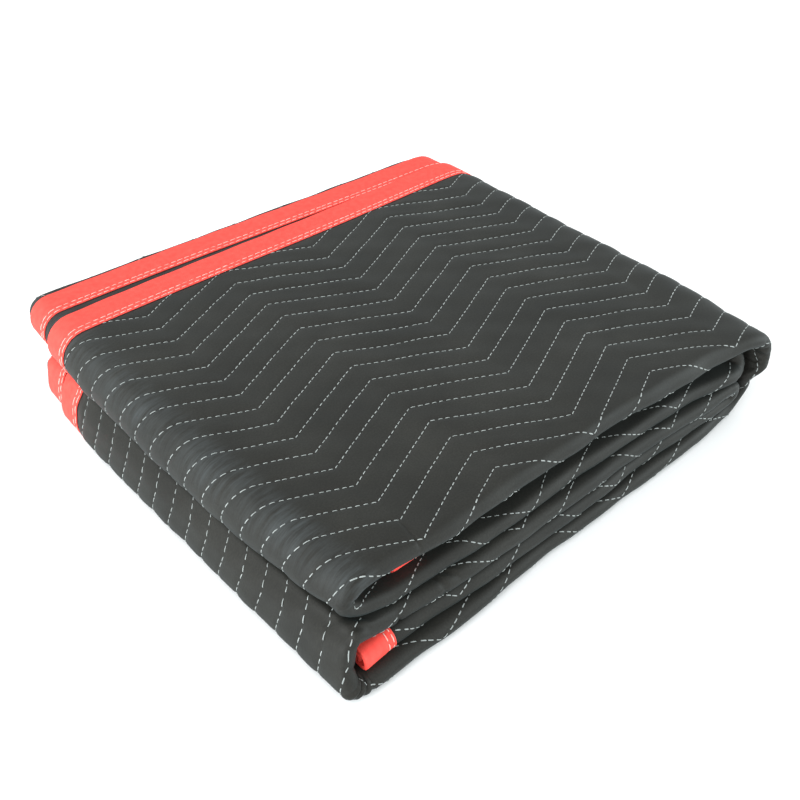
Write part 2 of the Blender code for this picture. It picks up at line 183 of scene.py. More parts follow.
def profileAt(u):
    # sizes of the four layers' cross-section at u; the layers lie half a pitch and one
    # and a half from the strip's middle
    pitch, shift = valueAt(u, "pitch"), valueAt(u, "shift")
    shift = shift - foldPlan["peep"] * (1.0 - smooth(u, *foldPlan["peepZone"]))
    sway = sum(size * wave(u, length, start) for size, length, start in foldPlan["lipSways"])
    bend = np.clip((u - spans["bottom"][1]) / (spans["foldLower"][0] - spans["bottom"][1]), 0.0, 1.0)
    sway = sway + foldPlan["footRecess"] * np.sin(np.pi * bend) ** 2     # the corner is rounded
    lip = foldPlan["outerLip"] + shift + sway + 1.5 * pitch + padLook["halfThick"]
    tuck = np.maximum(foldPlan["innerTuck"] + shift + sway, lip + foldPlan["tuckGap"])
    size, *edgeWave = foldPlan["edgeSway"]
    edge = foldPlan["boundEdge"] + shift + size * wave(u, *edgeWave)
    slant = alongPath(u)[0] / foldPlan["halfLength"]
    lefthand = 0.5 - 0.5 * np.clip(slant, -1.0, 1.0)
    size, *underWave = foldPlan["underSway"]
    under = foldPlan["underEdge"] + shift + valueAt(u, "under") * lefthand
    under = under - foldPlan["underSlant"] * slant + size * wave(u, *underWave)
    back = foldPlan["backFold"] + shift + valueAt(u, "back") * lefthand - foldPlan["backSlant"] * slant
    stops = [edge - lip]
    for size in (math.pi * 1.5 * pitch, back - lip, math.pi * 0.5 * pitch, back - tuck,
                 math.pi * 0.5 * pitch, under - tuck):
        stops.append(stops[-1] + size)
    return {"pitch": pitch, "lip": lip, "tuck": tuck, "edge": edge, "back": back,
            "stops": stops, "lift": valueAt(u, "lift"), "lift2": valueAt(u, "lift2")}


liftZone = (0.078, 0.088)     # y where lift and lift2 begin and where they are full


def sectionAt(shape, v):
    # (y, s) and the normal (y, s) of the cloth's middle surface at v; s is the distance
    # from the strip's middle
    stops, lip, tuck, back = shape["stops"], shape["lip"], shape["tuck"], shape["back"]
    big, small = 1.5 * shape["pitch"], 0.5 * shape["pitch"]
    outer, rear, inner = (v - stops[0]) / big, (v - stops[2]) / small, (v - stops[4]) / small
    first, last = shape["edge"] - v, tuck + v - stops[5]
    where = [v <= stops[0], v < stops[1], v <= stops[2], v < stops[3], v <= stops[4], v < stops[5]]
    flat, one = 0 * v, 0 * v + 1
    y = np.select(where, [first, lip - big * np.sin(outer), lip + v - stops[1],
                          back + small * np.sin(rear), back - (v - stops[3]),
                          tuck - small * np.sin(inner)], last)
    s = np.select(where, [big - shape["lift"] * smooth(first, *liftZone), big * np.cos(outer),
                          -big, -2 * small - small * np.cos(rear), -small, -small * np.cos(inner)],
                  small - shape["lift2"] * smooth(last, *liftZone))
    ny = np.select(where, [flat, -np.sin(outer), flat, np.sin(rear), flat, np.sin(inner)], flat)
    ns = np.select(where, [one, np.cos(outer), -one, -np.cos(rear), one, np.cos(inner)], -one)
    return y, s, ny, ns


# how the bundle settles; each zone is where a move starts and where it is full
sag = {
    "halfLength": 0.150, "halfWidth": 0.130,
    "left": (0.050, 0.140), "right": (0.0850, 0.165), "front": (0.0750, 0.145),
    "height": 0.992, "leanX": 0.040, "leanY": 0.005, "leanCorner": 0.055,
    "pinch": 0.0065, "pinchX": (0.1140, 0.1365),            # the upper bend's near end stands higher
    "pinchOn": (0.0188, 0.0204), "pinchOff": (0.0390, 0.0494),
    "droop": 0.0042, "droopY": (0.1290, 0.139), "droopZ": (0.0475, 0.0490),     # of the top lip
    "droopLeast": 0.35, "droopMore": 0.65, "droopOn": (-0.110, 0.090), "droopOff": (0.118, 0.141),
    "frontBow": 0.0038, "rearBow": 0.0052, "bowZ": (0.018, 0.032), "rightIn": 0.0030,
    "upright": 0.0040, "uprightX": (0.1335, 0.1425),        # face of the lower bend
    "uprightOn": (0.0030, 0.0165), "uprightOff": (0.0245, 0.0310),
    "foot": 0.0020, "footX": (0.1200, 0.1420), "footZ": (0.0010, 0.0090),
    "cornerOut": 0.0075, "cornerX": (0.100, 0.150), "cornerZ": (0.022, 0.034),
    "baseTurn": 0.0040, "baseZ": (0.004, 0.022),
}


def settle(x, y, z):
    # sag, bow and lean of the whole bundle
    left = smooth(-x, *sag["left"])
    right = softRamp(x, *sag["right"])
    front = softRamp(-y, *sag["front"])
    pinch = softRamp(-x, *sag["pinchX"]) * front
    full = softRamp(z, *sag["pinchOn"]) - softRamp(z, *sag["pinchOff"])
    lean = sag["height"] - sag["leanX"] * (x / sag["halfLength"]) - sag["leanY"] * (y / sag["halfWidth"])
    lean = lean - sag["leanCorner"] * right * front
    droop = sag["droop"] * smooth(-y, *sag["droopY"]) * smooth(z, *sag["droopZ"])
    droop = droop * (sag["droopLeast"] + sag["droopMore"] * smooth(x, *sag["droopOn"]))
    droop = droop * (1.0 - smooth(x, *sag["droopOff"]))
    half = padLook["halfThick"]
    settled = half + (z - half) * lean + sag["pinch"] * pinch * full - droop
    # the upper bend bows back towards -Y, the lower one doesn't
    bow = np.where(y < 0, sag["frontBow"] * smooth(z, *sag["bowZ"]), sag["rearBow"])
    x = x + left * (y / sag["halfWidth"]) ** 2 * bow - sag["rightIn"] * right * front
    # the lower bend runs out into its foot, its face above that is nearly upright
    upright = smooth(-x, *sag["uprightX"]) * smooth(z, *sag["uprightOn"])
    x = x + sag["upright"] * (upright * (1.0 - smooth(z, *sag["uprightOff"])))
    x = x - sag["foot"] * smooth(-x, *sag["footX"]) * (1.0 - smooth(z, *sag["footZ"]))
    y = y - sag["cornerOut"] * smooth(x, *sag["cornerX"]) * front * smooth(z, *sag["cornerZ"])
    y = y + sag["baseTurn"] * (1.0 - smooth(z, *sag["baseZ"])) * front * x / sag["halfLength"]
    return np.stack([x, y, settled], axis=-1)


def onPad(u, v, h):
    # Where points (u, v, h) of the flat pad lie in the bundle, h above its middle surface
    u, v, h = np.broadcast_arrays(np.asarray(u, float), np.asarray(v, float), np.asarray(h, float))
    step = 0.0001       # to the points beside, which give the surface's slope
    x, z, nx, nz = alongPath(u)
    y, s, ny, ns = sectionAt(profileAt(u), v)
    x, z = x + s * nx, z + s * nz
    base = settle(x, y, z)
    side = settle(x - ny * nx * step, y + ns * step, z - ny * nz * step) - base
    way = settle(x + nz * step, y, z - nx * step) - base
    normal = np.cross(way, side)
    normal /= np.linalg.norm(normal, axis=-1, keepdims=True)
    points = base + h[..., None] * normal
    points[..., :2] -= foldPlan["centre"]
    points[..., 2] = np.maximum(points[..., 2], 0.0)    # the ground presses it flat
    return points


# legs of the zigzag passed at each u; the quilting slips along the bottom strip
fineU = np.linspace(-0.08, flatLength + 0.08, 4001)
slipPart = np.clip((fineU - spans["bottom"][0]) / (spans["bottom"][1] - spans["bottom"][0]), 0.0, 1.0)
fineLegs = (fineU - apexShift - padLook["quiltSlip"] * slipPart) / halfZigzag


def zigzag(u):
    legs = np.interp(u, fineU, fineLegs) % 2.0
    return np.where(legs < 1.0, legs, 2.0 - legs)


def lineBase(u):
    # v of the quilting line number 0
    start = padLook["knownAt"] - padLook["knownLine"] * padLook["lineStep"]
    return start - padLook["zigzagRise"] * zigzag(u)


def inTurns(u, margin=0.0):
    # where the outer layer is on the outside of the bundle
    return (u > spans["foldUpper"][1] - margin) & (u < spans["foldLower"][0] + margin)


# main creases in the cloth: (u, v) of the middle, angle to the line of winding in
# degrees, then length, width and depth; below zero it is a trough
creases = [
    (0.5953, 0.2395, 99, 0.0190, 0.0008, -0.00060),     # beside the last apex on top
    (0.5500, 0.2430, 50, 0.0150, 0.0011, -0.00090), (0.5560, 0.2360, 25, 0.0300, 0.0030, -0.00060),
    (0.5440, 0.2380, 65, 0.0220, 0.0022, -0.00070),     # pinched end of the upper bend
    (1.2095, 0.2330, 42, 0.0240, 0.0014, -0.00110), (1.2120, 0.2420, 27, 0.0210, 0.0012, -0.00100),
    (1.1965, 0.2430, 100, 0.0190, 0.0015, -0.00080), (1.2010, 0.2180, 60, 0.0200, 0.0026, -0.00050),
    (1.1765, 0.2490, 84, 0.0130, 0.0009, -0.00100), (1.1800, 0.2475, 96, 0.0150, 0.0010, -0.00110),
    (1.1838, 0.2480, 88, 0.0110, 0.0009, -0.00100), (1.1872, 0.2470, 101, 0.0140, 0.0009, -0.00090),
    (1.2340, 0.2470, 62, 0.0110, 0.0009, -0.00080), (1.2325, 0.2490, 122, 0.0100, 0.0009, -0.00080),
    (1.2590, 0.2440, 72, 0.0160, 0.0012, -0.00100), (1.2660, 0.2425, 50, 0.0160, 0.0013, -0.00090),
    (0.8780, 0.2590, 94, 0.0210, 0.0016, 0.00160), (0.8722, 0.2580, 80, 0.0170, 0.0012, -0.00150),
    (0.8838, 0.2570, 101, 0.0170, 0.0012, -0.00150), (0.8665, 0.2550, 72, 0.0180, 0.0012, -0.00130),
    (0.8590, 0.2540, 96, 0.0160, 0.0013, -0.00120), (0.8530, 0.2550, 82, 0.0150, 0.0012, -0.00110),
    (0.8465, 0.2530, 98, 0.0160, 0.0014, -0.00100),
    (0.8250, 0.1720, 102, 0.0300, 0.0030, -0.00030), (0.7220, 0.1650, 97, 0.0260, 0.0028, -0.00028),
]
# where the columns of the mesh stand closer: start, stop and step
closeColumns = [(0.5425, 0.5595, 0.0018), (0.5922, 0.5986, 0.0008), (0.8440, 0.8870, 0.0017),
                (1.1750, 1.1890, 0.0009), (1.1930, 1.2160, 0.0015), (1.2305, 1.2365, 0.0011),
                (1.2540, 1.2700, 0.0016)]
wobble = {"size": 0.12, "turn": 1.7}        # of a crease's line, in its widths


def creaseRise(u, v):
    rise = np.zeros(np.shape(u))
    for u0, v0, angle, length, width, depth in creases:
        turn = math.radians(angle)
        near = (u - u0) * math.cos(turn) + (v - v0) * math.sin(turn)
        off = (v - v0) * math.cos(turn) - (u - u0) * math.sin(turn)
        off = off + wobble["size"] * width * np.sin(near / width * wobble["turn"])
        rise += depth * np.exp(-(off / width) ** 2) * np.exp(-(2.0 * near / length) ** 4)
    return rise


def unevenRise(u, v):
    # slow waves of a few centimetres, as in cloth that has been folded before
    low = wave(u, 0.047, 0.3) * wave(v, 0.061, 0.1) + 0.8 * wave(u + 0.6 * v, 0.083, 0.7)
    low = low + 0.6 * wave(u - 1.3 * v, 0.029, 0.2) + 0.5 * wave(2 * v + u, 0.071, 0.55)
    return padLook["uneven"] * low


def outerRise(u, v):
    # how far the outer face stands over the flat cloth: puffed quilting and creases
    shape = profileAt(u)
    lip = shape["stops"][0]
    phase = ((v - lineBase(u)) / padLook["lineStep"]) % 1.0
    away = np.abs(phase - np.round(phase)) * padLook["lineStep"]
    part = 2 * away / padLook["lineStep"]
    loft = 0.75 + 0.25 * wave(u, 0.0370, 0.1) * wave(v, 0.0288, 0.4)
    rise = padLook["puff"] * (1 - (1 - part) ** padLook["puffPower"]) * loft
    rise = rise - padLook["valley"] * np.exp(-(away / padLook["valleyWide"]) ** 2)
    rise = rise * np.where(inTurns(u), 1.0 - smooth(v, lip - 0.001, lip + 0.002), padLook["hiddenShare"])
    seen = np.where(inTurns(u), 1.0, smooth(v, lip - 0.034, lip - 0.010))
    edge = padLook["openReach"]
    inside = smooth(np.minimum.reduce([u, v, flatLength - u]), edge, edge + 0.004)
    under, rearStart, rearStop = shape["stops"][1:4]
    rest = 1.0 - smooth(v, under + 0.002, under + 0.012)
    rear = smooth(v, rearStart - 0.004, rearStart) * (1 - smooth(v, rearStop, rearStop + 0.004))
    whole = (rise + unevenRise(u, v)) * seen * inside + creaseRise(u, v)
    return whole * np.maximum(rest, padLook["rearShare"] * rear)


def halfThick(u, v):
    shape = profileAt(u)
    inside = np.minimum.reduce([u, v, flatLength - u, shape["stops"][6] - v])
    part = smooth(inside, padLook["boundReach"], padLook["openReach"])
    return padLook["boundHalf"] + (padLook["halfThick"] - padLook["boundHalf"]) * part


# rows of the mesh: on the hem, between two quilting lines, and along a layer
hem = (0.0, 0.0090, padLook["boundReach"], 0.0190, padLook["openReach"])
lineParts = (0.0, 0.055, 0.125, 0.25, 0.42, 0.58, 0.75, 0.875, 0.945)
lineNumbers = range(-1, 30)
secondParts = (0.22, 0.34, 0.5, 0.66, 0.82, 0.93)
thirdParts = (0.05, 0.2, 0.4, 0.6, 0.8, 0.93)
fourthParts = (0.07, 0.2, 0.4, 0.6, 0.75)
columnGap = 0.0007          # least space between two columns


def padColumns(fine, coarse, turnStep, close=()):
    # u of each column of the mesh: one at every turn of the zigzag, the others between
    marks = [0.0, 0.009, padLook["boundReach"], padLook["openReach"]]
    marks += [flatLength - mark for mark in marks]
    for name in winding:
        start, stop = spans[name]
        step = fine if name in ("top", "bottom") else coarse
        marks += list(np.linspace(start, stop, round((stop - start) / step) + 1))
    for before, after in zip(winding, winding[1:]):
        start, stop = spans[before][1], spans[after][0]
        marks += list(np.linspace(start, stop, round((stop - start) / turnStep) + 1))
    for start, stop, step in close:
        marks += list(np.arange(start, stop, step))
    firm = np.interp(np.arange(math.ceil(fineLegs[0]), fineLegs[-1]), fineLegs, fineU)
    edge = padLook["openReach"]
    kept = [mark for mark in firm if edge < mark < flatLength - edge]
    for mark in sorted(marks):
        if min(abs(mark - other) for other in kept) > columnGap:
            kept.append(mark)
    return np.array(sorted(kept))


def between(stops, number, parts):
    return [stops[number] + (stops[number + 1] - stops[number]) * part for part in parts]


def outerRows(u):
    # v of each row of the outer face in every column: the rows between the edge and
    # the lip follow the quilting, and fall together where nothing shows
    stops = profileAt(u)["stops"]
    rows = [0 * u + reach for reach in hem]
    base, step = lineBase(u), padLook["lineStep"]
    for number in lineNumbers:
        for part in lineParts:
            offset = (number + part) * step
            row = base + offset
            hidden = ~inTurns(u, 0.004) & (row < stops[0] - 0.045)      # joined three by three
            row = np.where(hidden, base + np.floor(offset / (3 * step)) * 3 * step, row)
            rows.append(np.clip(row, 0 * u + padLook["openReach"], stops[0]))
    rows.append(stops[0])
    rows += between(stops, 0, np.linspace(0, 1, 13)[1:])
    rows += [stops[1] + reach for reach in (0.0015, 0.0035, 0.007, 0.014, 0.030)]
    rows += between(stops, 1, secondParts)
    rows += between(stops, 2, np.linspace(0, 1, 9))
    rows += between(stops, 3, thirdParts)
    rows += between(stops, 4, np.linspace(0, 1, 7))
    rows += between(stops, 5, fourthParts)
    rows += [stops[6] - reach for reach in (0.042, 0.034, 0.028, 0.024) + hem[::-1]]
    return np.maximum.accumulate(np.array(rows).T, axis=1)


def innerRows(u):
    stops = profileAt(u)["stops"]
    rows = [0 * u + reach for reach in hem]
    rows += [stops[0] * part for part in (0.2, 0.35, 0.5, 0.65, 0.8, 0.9)]
    rows += between(stops, 0, np.linspace(0, 1, 13))
    rows += between(stops, 1, (0.07,) + secondParts)
    rows += between(stops, 2, np.linspace(0, 1, 9))
    rows += between(stops, 3, thirdParts)
    rows += between(stops, 4, np.linspace(0, 1, 7))
    rows += between(stops, 5, fourthParts)
    rows += [stops[6] - reach for reach in (0.042, 0.036, 0.031, 0.027, 0.023) + hem[::-1]]
    return np.array(rows).T


def numbered(rows):
    # the number of each row's point, with rows that fall together joined
    least = 1e-7
    fresh = np.ones(rows.shape, bool)
    fresh[:, 1:] = np.diff(rows, axis=1) > least
    return np.cumsum(fresh.ravel()).reshape(rows.shape) - 1, fresh


def gridFaces(index, flip):
    a, b, c, d = index[:-1, :-1], index[1:, :-1], index[1:, 1:], index[:-1, 1:]
    quads = np.stack([a, b, c, d] if flip else [a, d, c, b], axis=-1).reshape(-1, 4)
    faces = []
    for quad in quads.tolist():
        ring = [corner for spot, corner in enumerate(quad) if corner != quad[spot - 1]]
        if len(ring) > 2:
            faces.append(ring)
    return faces


def zipEnds(faces, first, firstV, second, secondV):
    # closes a cut end between its two faces
    beyond = 9.0        # past any v
    i = j = 0
    while i < len(first) - 1 or j < len(second) - 1:
        nextI = firstV[i + 1] if i < len(first) - 1 else beyond
        nextJ = secondV[j + 1] if j < len(second) - 1 else beyond
        if nextI <= nextJ:
            faces.append([first[i], first[i + 1], second[j]])
            i += 1
        else:
            faces.append([first[i], second[j + 1], second[j]])
            j += 1


def newMesh(name, points, faces, flatUv, material, sharp):
    # a piece of the pad from its points, with the angle in degrees that shades as an edge
    mesh = bpy.data.meshes.new(name)
    mesh.from_pydata([tuple(point) for point in points], [], faces)
    layer = mesh.uv_layers.new(name="flat")     # where the point was before folding, in metres
    corner = np.zeros(len(mesh.loops), np.int32)
    mesh.loops.foreach_get("vertex_index", corner)
    layer.data.foreach_set("uv", np.asarray(flatUv, np.float32)[corner].ravel())
    mesh.materials.append(material)
    mesh.validate()
    mesh.shade_smooth()
    mesh.set_sharp_from_angle(angle=math.radians(sharp))
    piece = bpy.data.objects.new(name, mesh)
    bpy.context.scene.collection.objects.link(piece)
    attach(piece, "root")
    return piece


besideTape = {"start": (0.045, 0.035), "stop": (0.024, 0.0196), "rise": 0.0003}    # from the second edge


def makePad(material):
    u = padColumns(padLook["fineStep"], padLook["coarseStep"], padLook["turnStep"], closeColumns)
    points, flatUv, faces, indexes = [], [], [], []
    count = 0
    for rows, way in ((outerRows(u), 1), (innerRows(u), -1)):
        index, fresh = numbered(rows)
        wide = np.broadcast_to(u[:, None], rows.shape)[fresh]
        across = rows[fresh]
        high = halfThick(wide, across)
        if way == 1:
            high = high + outerRise(wide, across)
        else:
            edge = profileAt(wide)["stops"][6]
            start, stop = ([edge - reach for reach in besideTape[name]] for name in ("start", "stop"))
            seen = smooth(across, *start) * (1 - smooth(across, *stop))
            high = high + seen * (besideTape["rise"] + unevenRise(across, wide))
        points.append(onPad(wide, across, way * high))
        flatUv.append(np.stack([wide, across], axis=-1))
        index = index + count
        count += len(wide)
        faces += gridFaces(index, way == -1)
        indexes.append((index, rows))
    (outer, outerV), (inner, innerV) = indexes
    zipEnds(faces, inner[0], innerV[0], outer[0], outerV[0])
    zipEnds(faces, outer[-1], outerV[-1], inner[-1], innerV[-1])
    for row, flip in ((0, False), (-1, True)):
        a, b, c, d = outer[:-1, row], outer[1:, row], inner[1:, row], inner[:-1, row]
        quads = np.stack([a, d, c, b] if flip else [a, b, c, d], axis=-1).tolist()
        faces += quads
    faces = [ring for ring in faces if len(set(ring)) == len(ring)]
    piece = newMesh("quilted_pad", np.concatenate(points), faces, np.concatenate(flatUv), material,
                    padLook["sharp"])
    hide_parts("pad")
    print("pad:", len(faces), "faces")
    return piece


tapeLook = {
    "width": 0.0180, "thick": 0.0004, "gap": 0.0002,
    "rows": (0.0166, 0.0138),           # stitch rows, from the pad's edge
    "rowDeep": 0.00022, "rowWide": 0.0008, "edgeDown": 0.00015,
    "stitch": 0.0037, "period": 0.0045, "loose": 0.04,
    "thread": 0.00028, "rise": 0.00012, "sink": 0.00020,
    "stations": (0.0040, 0.0060, 0.0026),       # along a long edge: seen, hidden and in the bends
    "endFrom": 0.0185,                          # an end tape starts inside the long ones
    "flatStep": 0.006, "lipStep": 0.0010, "tightStep": 0.0006, "sharp": 60,
}
innerCount = 8      # points of the ring on the tape's inner side


def tapeRing():
    # (reach, height) round the tape's section: reach from the pad's edge, height from its middle
    inside = padLook["boundHalf"] + tapeLook["gap"]
    outside = inside + tapeLook["thick"]
    turn = tapeLook["gap"] + tapeLook["thick"]
    reaches = [tapeLook["width"], 0.01785, 0.0174, 0.0166, 0.0158, 0.0152, 0.0146, 0.0138,
               0.0130, 0.0115, 0.0095, 0.0070, 0.0045, 0.0022, 0.0008]
    over = []
    for reach in reaches:
        dip = sum(tapeLook["rowDeep"] * math.exp(-((reach - row) / tapeLook["rowWide"]) ** 2)
                  for row in tapeLook["rows"])
        down = tapeLook["edgeDown"] if reach == tapeLook["width"] else 0.0
        over.append((reach, outside - dip - down))
    for angle in (35, 65):
        bend = math.radians(angle)
        over.append((-turn * math.sin(bend), outside * math.cos(bend) + 0.00005))
    over.append((-turn * 1.05, 0.0))
    under = [(-tapeLook["gap"], inside * 0.5), (0.0, inside), (tapeLook["width"] / 2, inside),
             (tapeLook["width"], inside)]
    ring = over + [(reach, -height) for reach, height in reversed(over[:-1])]
    return ring + [(reach, -height) for reach, height in reversed(under)] + under


def tapeWaves(u, reach, height):
    # small puckers that the two stitch rows draw into the tape's outer side
    pull = np.exp(-((reach - 0.0150) / 0.0040) ** 2)
    rise = 0.00007 * pull * wave(u, 0.0045, 0.0)
    rise = rise + 0.00012 * wave(u, 0.031, 0.3) * wave(reach, 0.026, 0.2)
    outer = np.abs(height) > padLook["boundHalf"] + tapeLook["gap"] + 0.0001
    return height + np.sign(height) * outer * (rise + 0.00012)


def makeTape(name, node, material, stations, spot):
    # spot gives the points and their flat places for distances along the edge
    ring = np.array(tapeRing())
    reach, height = (np.broadcast_to(ring[:, axis], (len(stations), len(ring))) for axis in (0, 1))
    along = np.broadcast_to(np.asarray(stations)[:, None], reach.shape)
    points, flatUv = spot(along, reach, height)
    count = len(ring)
    index = np.arange(points.shape[0] * count).reshape(-1, count)
    index = np.concatenate([index, index[:, :1]], axis=1)
    faces = np.stack([index[:-1, :-1], index[:-1, 1:], index[1:, 1:], index[1:, :-1]],
                     axis=-1).reshape(-1, 4).tolist()
    half = len(ring) - innerCount
    for end, flip in ((0, False), (len(stations) - 1, True)):
        outer, inner = index[end, :half], index[end, half:-1][::-1]
        ends = []
        zipEnds(ends, list(outer), list(-ring[:half, 0][0] + np.arange(half) / half),
                list(inner), list(np.arange(innerCount) / innerCount))
        faces += [face[::-1] if flip else face for face in ends]
    piece = newMesh(name, points.reshape(-1, 3), faces, flatUv.reshape(-1, 2), material,
                    tapeLook["sharp"])
    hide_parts(node)
    return piece


def makeLongTape(name, node, material, second):
    def spot(u, reach, height):
        v = profileAt(u)["stops"][6] - reach if second else reach
        return onPad(u, v, tapeWaves(u, reach, height)), np.stack([u, v], axis=-1)
    return makeTape(name, node, material, padColumns(*tapeLook["stations"]), spot)


def makeEndTape(name, node, material, last):
    def spot(v, reach, height):
        u = flatLength - reach if last else reach + 0 * v
        return onPad(u, v, tapeWaves(v, reach, height)), np.stack([u, v], axis=-1)
    shape = profileAt(np.array([flatLength if last else 0.0]))
    stops = [float(stop[0]) for stop in shape["stops"]]
    marks = [tapeLook["endFrom"]] + stops[:6] + [stops[6] - tapeLook["endFrom"]]
    steps = [tapeLook[name] for name in ("flatStep", "lipStep", "flatStep", "tightStep", "flatStep",
                                         "tightStep", "flatStep")]
    for low, high, step in zip(marks[:7], marks[1:8], steps):
        marks += list(np.linspace(low, high, round((high - low) / step) + 1))
    return makeTape(name, node, material, np.unique(np.round(marks, 6)), spot)


stitchLook = {
    "period": 0.00365, "length": 0.00250, "thread": 0.00024,
    "rise": 0.00020, "sink": 0.00020,
    "first": 0.14, "loose": 0.05, "lengthLoose": 0.06,      # in stitches, and in lengths
    "lines": range(-2, 26), "rearLines": range(14, 76),
    "hemEnd": 0.0175, "rearRise": 0.00025,
}
# stations along a thread: how far along, how thick and how high; then its section
threadShape = {
    "spots": np.array([0.0, 0.13, 0.5, 0.87, 1.0]), "fat": np.array([0.45, 0.95, 1.0, 0.95, 0.45]),
    "high": 0.55, "sharp": 80,
    "section": np.array([(1.0, 0.0), (0.0, 0.8), (-1.0, 0.0), (0.0, -0.8)]),
}


def threadMesh(name, starts, ends, sides, bases, look, material):
    # one small bent thread from each start to its end, both (u, v), as one mesh;
    # sides is 1 on the outer face and -1 on the inner one, bases the face's height there
    thread, rise, sink = look["thread"], look["rise"], look["sink"]
    spots, fat, corners = threadShape["spots"], threadShape["fat"], threadShape["section"]
    lift = np.array([-sink, rise * threadShape["high"], rise, rise * threadShape["high"], -sink])
    way = ends - starts
    way = way / np.linalg.norm(way, axis=1, keepdims=True)
    across = np.stack([-way[:, 1], way[:, 0]], axis=1)
    middle = starts[:, None, :] + (ends - starts)[:, None, :] * spots[None, :, None]
    wide = across[:, None, None, :] * (corners[:, 0] * thread)[None, None, :, None]
    flat = middle[:, :, None, :] + wide * fat[None, :, None, None]
    high = bases(middle[..., 0], middle[..., 1]) + lift[None, :]
    high = high[:, :, None] + (corners[:, 1] * thread)[None, None, :] * fat[None, :, None]
    points = onPad(flat[..., 0], flat[..., 1], high * sides[:, None, None])
    count = len(starts)
    index = np.arange(count * len(spots) * len(corners)).reshape(count, len(spots), len(corners))
    around = np.concatenate([index, index[:, :, :1]], axis=2)
    quads = np.stack([around[:, :-1, :-1], around[:, :-1, 1:], around[:, 1:, 1:], around[:, 1:, :-1]],
                     axis=-1).reshape(-1, 4)
    caps = np.concatenate([index[:, 0, ::-1], index[:, -1, :]])
    faces = np.concatenate([quads, caps])
    newMesh(name, points.reshape(-1, 3), faces.tolist(), flat.reshape(-1, 2), material,
            threadShape["sharp"])
    print(name + ":", count, "stitches")


def quiltingRuns(firstLeg, lastLeg, numbers, random):
    # start and end (u, v) of every stitch on these legs of these quilting lines
    starts, ends = [], []
    slope = math.hypot(halfZigzag, padLook["zigzagRise"])
    perLeg = round(slope / stitchLook["period"])
    for leg in range(firstLeg, lastLeg + 1):
        for number in numbers:
            first = stitchLook["first"] + stitchLook["loose"] * random.standard_normal(perLeg)
            first = (np.arange(perLeg) + first) / perLeg
            spread = 1 + stitchLook["lengthLoose"] * random.standard_normal(perLeg)
            last = first + stitchLook["length"] / slope * spread
            for share, kept in ((first, starts), (last, ends)):
                up = share if leg % 2 == 0 else 1 - share
                v = padLook["knownAt"] + (number - padLook["knownLine"]) * padLook["lineStep"]
                v = v - padLook["zigzagRise"] * up
                kept.append(np.stack([np.interp(leg + share, fineLegs, fineU), v], axis=1))
    return np.concatenate(starts), np.concatenate(ends)


def makeQuiltingStitches(material):
    random = np.random.default_rng(4)
    starts, ends = quiltingRuns(int(fineLegs[0]), int(fineLegs[-1]), stitchLook["lines"], random)
    u, v = ((starts + ends) / 2).T
    stops = profileAt(u)["stops"]
    edge = padLook["openReach"]
    inside = (u > edge) & (u < flatLength - edge) & (v > stitchLook["hemEnd"])
    outside = (v < stops[1] + 0.010) & (inTurns(u, 0.003) | (v > stops[0] - 0.036))
    starts, ends = starts[inside & outside], ends[inside & outside]
    threadMesh("quilting_stitches", starts, ends, np.ones(len(starts)),
               lambda a, b: halfThick(a, b) + outerRise(a, b), stitchLook, material)


def makeRearStitches(material):
    # ends of the quilting lines that show beside the second tape and on the rear fold
    reaches = spans["foldUpper"][1] - 0.02, spans["foldLower"][0] + 0.02
    legs = [math.floor(np.interp(u, fineU, fineLegs)) for u in reaches]
    starts, ends = quiltingRuns(*legs, stitchLook["rearLines"], np.random.default_rng(9))
    u, v = ((starts + ends) / 2).T
    stops = profileAt(u)["stops"]
    fold = (v > stops[2] - 0.006) & (v < stops[3] + 0.006)
    beside = (v > stops[6] - 0.044) & (v < stops[6] - 0.0178)
    kept = fold | beside
    sides = np.where(beside[kept], -1.0, 1.0)

    def base(a, b):
        inner = profileAt(a)["stops"][6] - 0.050 < b
        return halfThick(a, b) + np.where(inner, stitchLook["rearRise"], outerRise(a, b))
    threadMesh("rear_stitches", starts[kept], ends[kept], sides, base, stitchLook, material)


def makeTapeStitches(name, material, spots, sides):
    # double rows on a tape: spots gives (u, v) for a distance along the row and a reach
    starts, ends, side = [], [], []
    high = padLook["boundHalf"] + tapeLook["gap"] + tapeLook["thick"] - tapeLook["rowDeep"]
    high = high + tapeLook["rise"]
    random = np.random.default_rng(7)
    for row, shift in zip(tapeLook["rows"], (0.0, 0.5)):
        for flip in sides:
            for first, last in spots["runs"]:
                count = int((last - first) / tapeLook["period"])
                loose = tapeLook["loose"] * random.standard_normal(count)
                at = first + (np.arange(count) + shift + loose) * tapeLook["period"]
                starts.append(spots["at"](at, row))
                ends.append(spots["at"](at + tapeLook["stitch"], row))
                side.append(np.full(count, flip))
    starts, ends, side = np.concatenate(starts), np.concatenate(ends), np.concatenate(side)
    threadMesh(name, starts, ends, side, lambda a, b: high + 0 * a, tapeLook, material)


def makeAllTapeStitches(material):
    def firstEdge(at, row):
        return np.stack([at, row + 0 * at], axis=1)

    def secondEdge(at, row):
        return np.stack([at, profileAt(at)["stops"][6] - row], axis=1)

    def startEnd(at, row):
        return np.stack([row + 0 * at, at], axis=1)

    def finishEnd(at, row):
        return np.stack([flatLength - row + 0 * at, at], axis=1)

    outside = [(spans["foldUpper"][1] - 0.012, spans["foldLower"][0] + 0.012)]
    makeTapeStitches("tape_stitches_1", material, {"at": firstEdge, "runs": outside}, (1.0,))
    makeTapeStitches("tape_stitches_2", material, {"at": secondEdge, "runs": outside}, (-1.0,))
    for name, at, u in (("tape_stitches_3", startEnd, 0.0), ("tape_stitches_4", finishEnd, flatLength)):
        stops = profileAt(np.array([u]))["stops"]
        runs = [(float(stops[0][0]) - 0.040, float(stops[1][0]) + 0.006)]
        makeTapeStitches(name, material, {"at": at, "runs": runs}, (1.0,))


